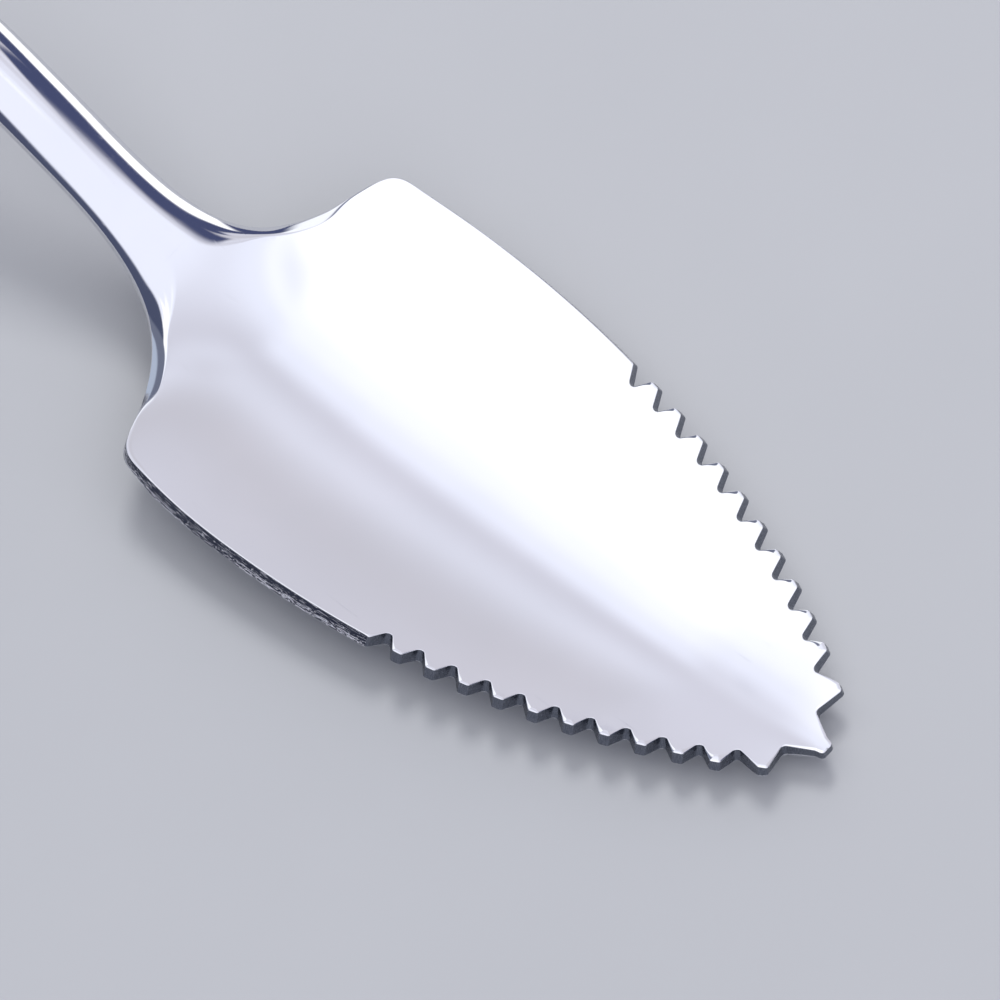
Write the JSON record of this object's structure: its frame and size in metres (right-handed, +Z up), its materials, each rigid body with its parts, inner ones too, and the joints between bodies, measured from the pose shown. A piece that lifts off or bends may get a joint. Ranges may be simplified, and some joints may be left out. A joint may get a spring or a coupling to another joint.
{
  "type": "grapefruit spoon",
  "caption": "Polished steel grapefruit spoon: a pointed shallow scoop with saw-toothed front edges, cut shoulders, a narrow waisted neck and an arched handle with a rounded end.",
  "frame": {"origin": "on the surface the spoon lies on, under the middle of its length and width", "axes": "+X from the handle end to the tip of the scoop, +Y across the scoop, +Z up out of the scoop's hollow"},
  "size_m": [0.172, 0.0358, 0.022],
  "materials": {
    "steel": "mirror-polished stainless steel, not plated"
  },
  "bodies": {
    "root": {"spoon": "steel"}
  },
  "joints": []
}
